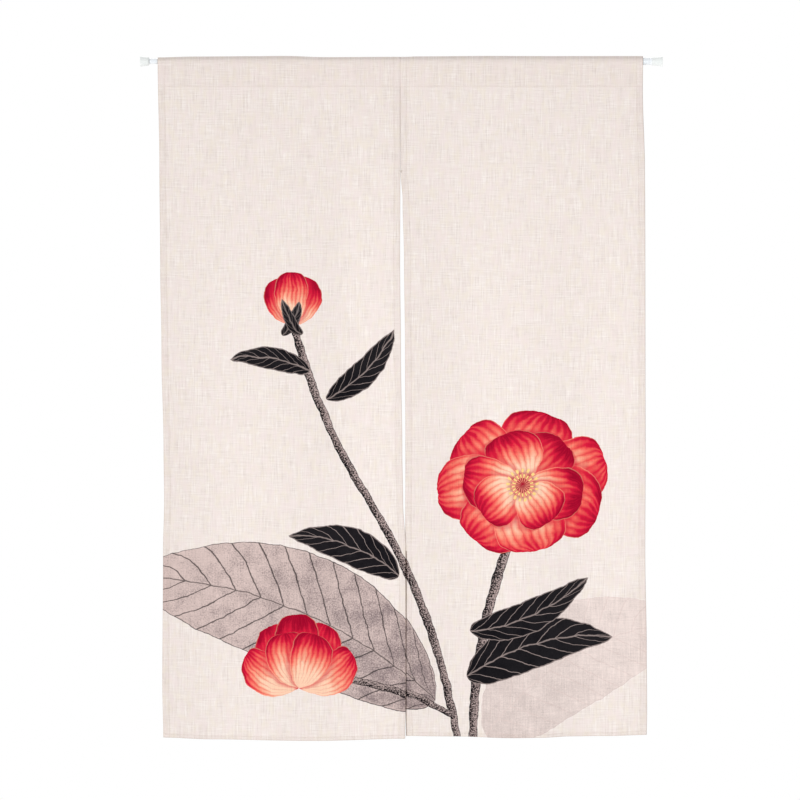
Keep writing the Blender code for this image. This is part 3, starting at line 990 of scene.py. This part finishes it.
def make_thread():
    """Two-ply sewing thread, whose twist shows as slanting ridges."""
    material, tree, shader = new_material("sewing_thread")
    along, around, _ = parted(Wire(add("UVMap", tree=tree, uv_map="thread_place").outputs[0]))
    twist = sine(along.times_plus(math.tau / TWIST_PITCH, around * math.tau))
    colour = mixed(smooth(twist, -1.0, 0.4), THREAD_SHADE, THREAD_LIGHT)
    connect_all(shader.inputs, {"Base Color": colour, "Roughness": 0.6})
    lay_bump(shader, twist, strength=0.6, distance=0.04 * MM)
    return material


def rounded(corners):
    """The points of an outline whose corners are rounded as their table says."""
    points = []
    for number, corner in enumerate(corners):
        here = Vector(corner[:2])
        if not corner.rounding:
            points.append(here)
            continue
        ends = []
        for beside in (corners[number - 1], corners[(number + 1) % len(corners)]):
            edge = Vector(beside[:2]) - here
            ends.append(here + edge.normalized() * min(corner.rounding, edge.length * LONGEST_ROUNDING))
        for step in range(ROUNDING_STEPS + 1):
            share = step / ROUNDING_STEPS
            points.append(ends[0].lerp(here, share).lerp(here.lerp(ends[1], share), share))
    return points


def make_turned(name, corners, closed, place, material):
    """A piece turned on the rod's axis from an outline of radii and places along the rod."""
    outline = rounded(corners)
    mesh = bpy.data.meshes.new(name)
    edges = [(point, point + 1) for point in range(len(outline) - 1)]
    if closed:
        edges.append((len(outline) - 1, 0))
    mesh.from_pydata([(point.x * MM, 0, point.y * MM) for point in outline], edges, [])
    piece = place_in_scene(name, mesh, (place, 0, 0))
    piece.rotation_euler = (0, math.pi / 2, 0)
    screw = piece.modifiers.new("turn", "SCREW")
    screw.steps = screw.render_steps = TURNED_STEPS
    screw.use_merge_vertices = True
    screw.merge_threshold = 0.005 * MM
    mesh.materials.append(material)
    return piece


def make_stitches(name, runs, material):
    """Stitches as short bent threads whose ends go into the cloth.

    A run holds, for each stitch and each of its stations, the place of the thread's middle, the
    direction out of the cloth and the thread's own direction.
    """
    points, faces, places = [], [], []
    turns = np.arange(THREAD_SIDES) / THREAD_SIDES * math.tau
    first = 0
    for middle, out, forward in runs:
        aside = unit(np.cross(forward, out))
        out = unit(np.cross(aside, forward))
        thin = THREAD_RADIUS * np.array(THREAD_SHAPE)[None, :, None, None]
        ring = aside[:, :, None] * np.cos(turns)[:, None]
        ring = ring + out[:, :, None] * np.sin(turns)[:, None] * THREAD_FLATNESS
        points.append((middle[:, :, None] + ring * thin).reshape(-1, 3))
        length = np.linalg.norm(np.diff(middle, axis=1), axis=-1)
        run = np.concatenate([np.zeros((len(middle), 1)), np.cumsum(length, axis=1)], axis=1)
        places.append(np.stack([np.repeat(run, THREAD_SIDES), np.tile(turns / math.tau, run.size)], -1))
        for _ in middle:
            last = first + (STATIONS - 1) * THREAD_SIDES
            for low in range(first, last, THREAD_SIDES):
                high = low + THREAD_SIDES
                for side in range(THREAD_SIDES):
                    beside = (side + 1) % THREAD_SIDES
                    faces.append((low + side, low + beside, high + beside, high + side))
            faces.append(tuple(first + side for side in reversed(range(THREAD_SIDES))))
            faces.append(tuple(last + side for side in range(THREAD_SIDES)))
            first = last + THREAD_SIDES
    mesh = bpy.data.meshes.new(name)
    mesh.from_pydata(np.concatenate(points).tolist(), [], faces)
    set_uv_map(mesh, "thread_place", np.concatenate(places))
    mesh.shade_smooth()
    mesh.materials.append(material)
    return place_in_scene(name, mesh)


def stations_of(start, end):
    """Where each stitch of a row runs, at each of its stations."""
    count = int((end - start) / STITCH_PITCH)
    first = start + (np.arange(count)[:, None] + 0.5) * (end - start) / count - STITCH_LENGTH / 2
    return first + np.linspace(0, 1, STATIONS)[None, :] * STITCH_LENGTH


def sewn_run(drape, column, along, side, layers):
    """A row of stitches on the printed side (-1) or the wrong side (1) of a panel."""
    column, along = np.broadcast_arrays(column, along)
    normal = drape.normal(column, along)
    lift = (CLOTH / 2 + layers * LAYER_GAP) + np.array(THREAD_LIFT)[None, :]
    middle = drape.surface(column, along) + side * normal * lift[..., None]
    forward = np.gradient(drape.surface(column, along), axis=1)
    return middle, side * normal, forward


def panel_runs(drape):
    """All the stitch rows of one panel: the pocket's row, the side hems and the bottom hem."""
    across = stations_of(1.5 * MM, PANEL_WIDTH - 1.5 * MM)
    upward = stations_of(BOTTOM_HEM + 1 * MM, drape.stitch_back - 1 * MM)
    runs = [sewn_run(drape, across, row, -1, 0) for row in (drape.hang, drape.stitch_back)]
    for side, layers in FACE_AND_BACK:
        runs.append(sewn_run(drape, across, BOTTOM_HEM - STITCH_LINE, side, layers))
        for column in (SIDE_HEM - STITCH_LINE, PANEL_WIDTH - SIDE_HEM + STITCH_LINE):
            runs.append(sewn_run(drape, column, upward, side, layers))
    return runs


def seam_runs(left, right):
    """The stitches that join the two panels down to the slit's start, and the bar tack there."""
    runs = []
    share = np.linspace(0, 1, STATIONS)[None, :, None]
    drops = np.arange(POCKET_DROP + 2 * MM, SEAM_END - 4 * MM, SEAM_PITCH)
    tack = np.arange(SEAM_END - 3 * MM, SEAM_END + 1 * MM, TACK_PITCH)
    for rows, reach, slant in ((drops, SEAM_REACH, SEAM_SLANT), (tack, TACK_REACH, 0.0)):
        for side, layers in FACE_AND_BACK:
            ends = []
            for drape, shift in ((left, 0.0), (right, slant)):
                foot = drape.foot_at(PANEL_WIDTH - reach)
                along = (foot - rows - shift) / (foot - POCKET_DROP) * drape.hang
                column = np.full_like(along, PANEL_WIDTH - reach)
                lift = side * (CLOTH / 2 + layers * LAYER_GAP + THREAD_LIFT[1])
                normal = drape.normal(column, along)
                ends.append((drape.surface(column, along) + normal * lift, normal))
            (start, start_normal), (end, end_normal) = ends
            middle = start[:, None] * (1 - share) + end[:, None] * share
            out = side * (start_normal[:, None] * (1 - share) + end_normal[:, None] * share)
            middle = middle + out * np.array(THREAD_LIFT)[None, :, None] * 0.5
            runs.append((middle, out, np.broadcast_to(end[:, None] - start[:, None], middle.shape)))
    return runs


def main():
    make_camera_and_light()
    make_floor()
    groups = make_weave_group(), make_sewn_shade_group(), make_print_group()
    linen_face = make_linen("linen_face", groups, 1.0)
    linen_back = make_linen("linen_back", groups, 0.4)
    thread = make_thread()
    drapes, cloths = [], []
    for panel in PANELS:
        cloth, drape = make_cloth(panel, (linen_face, linen_back))
        drapes.append(drape)
        sewn_on = [make_stitches(f"{panel.name}_stitches", panel_runs(drape), thread)]
        if len(drapes) == len(PANELS):
            sewn_on.append(make_stitches("seam_stitches", seam_runs(*drapes), thread))
        for piece in (cloth, *sewn_on):
            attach(piece, "curtain")
        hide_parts(f"{panel.name}_panel")
        cloths.append((cloth, sewn_on))
    coat_marks = make_coat_group()
    finishes = {
        "rod_white": make_coat("rod_white_coat", coat_marks, *ROD_DYES, roughness=0.16, pits=0.15),
        "foot_white": make_coat("foot_white_plastic", coat_marks, *FOOT_DYES, roughness=0.36, pits=0.3),
    }
    for part in ROD_PIECES:
        piece = make_turned(f"{part.node}_finish", part.corners, part.closed, part.place, finishes[part.slot])
        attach(piece, part.body)
        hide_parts(part.node)


main()
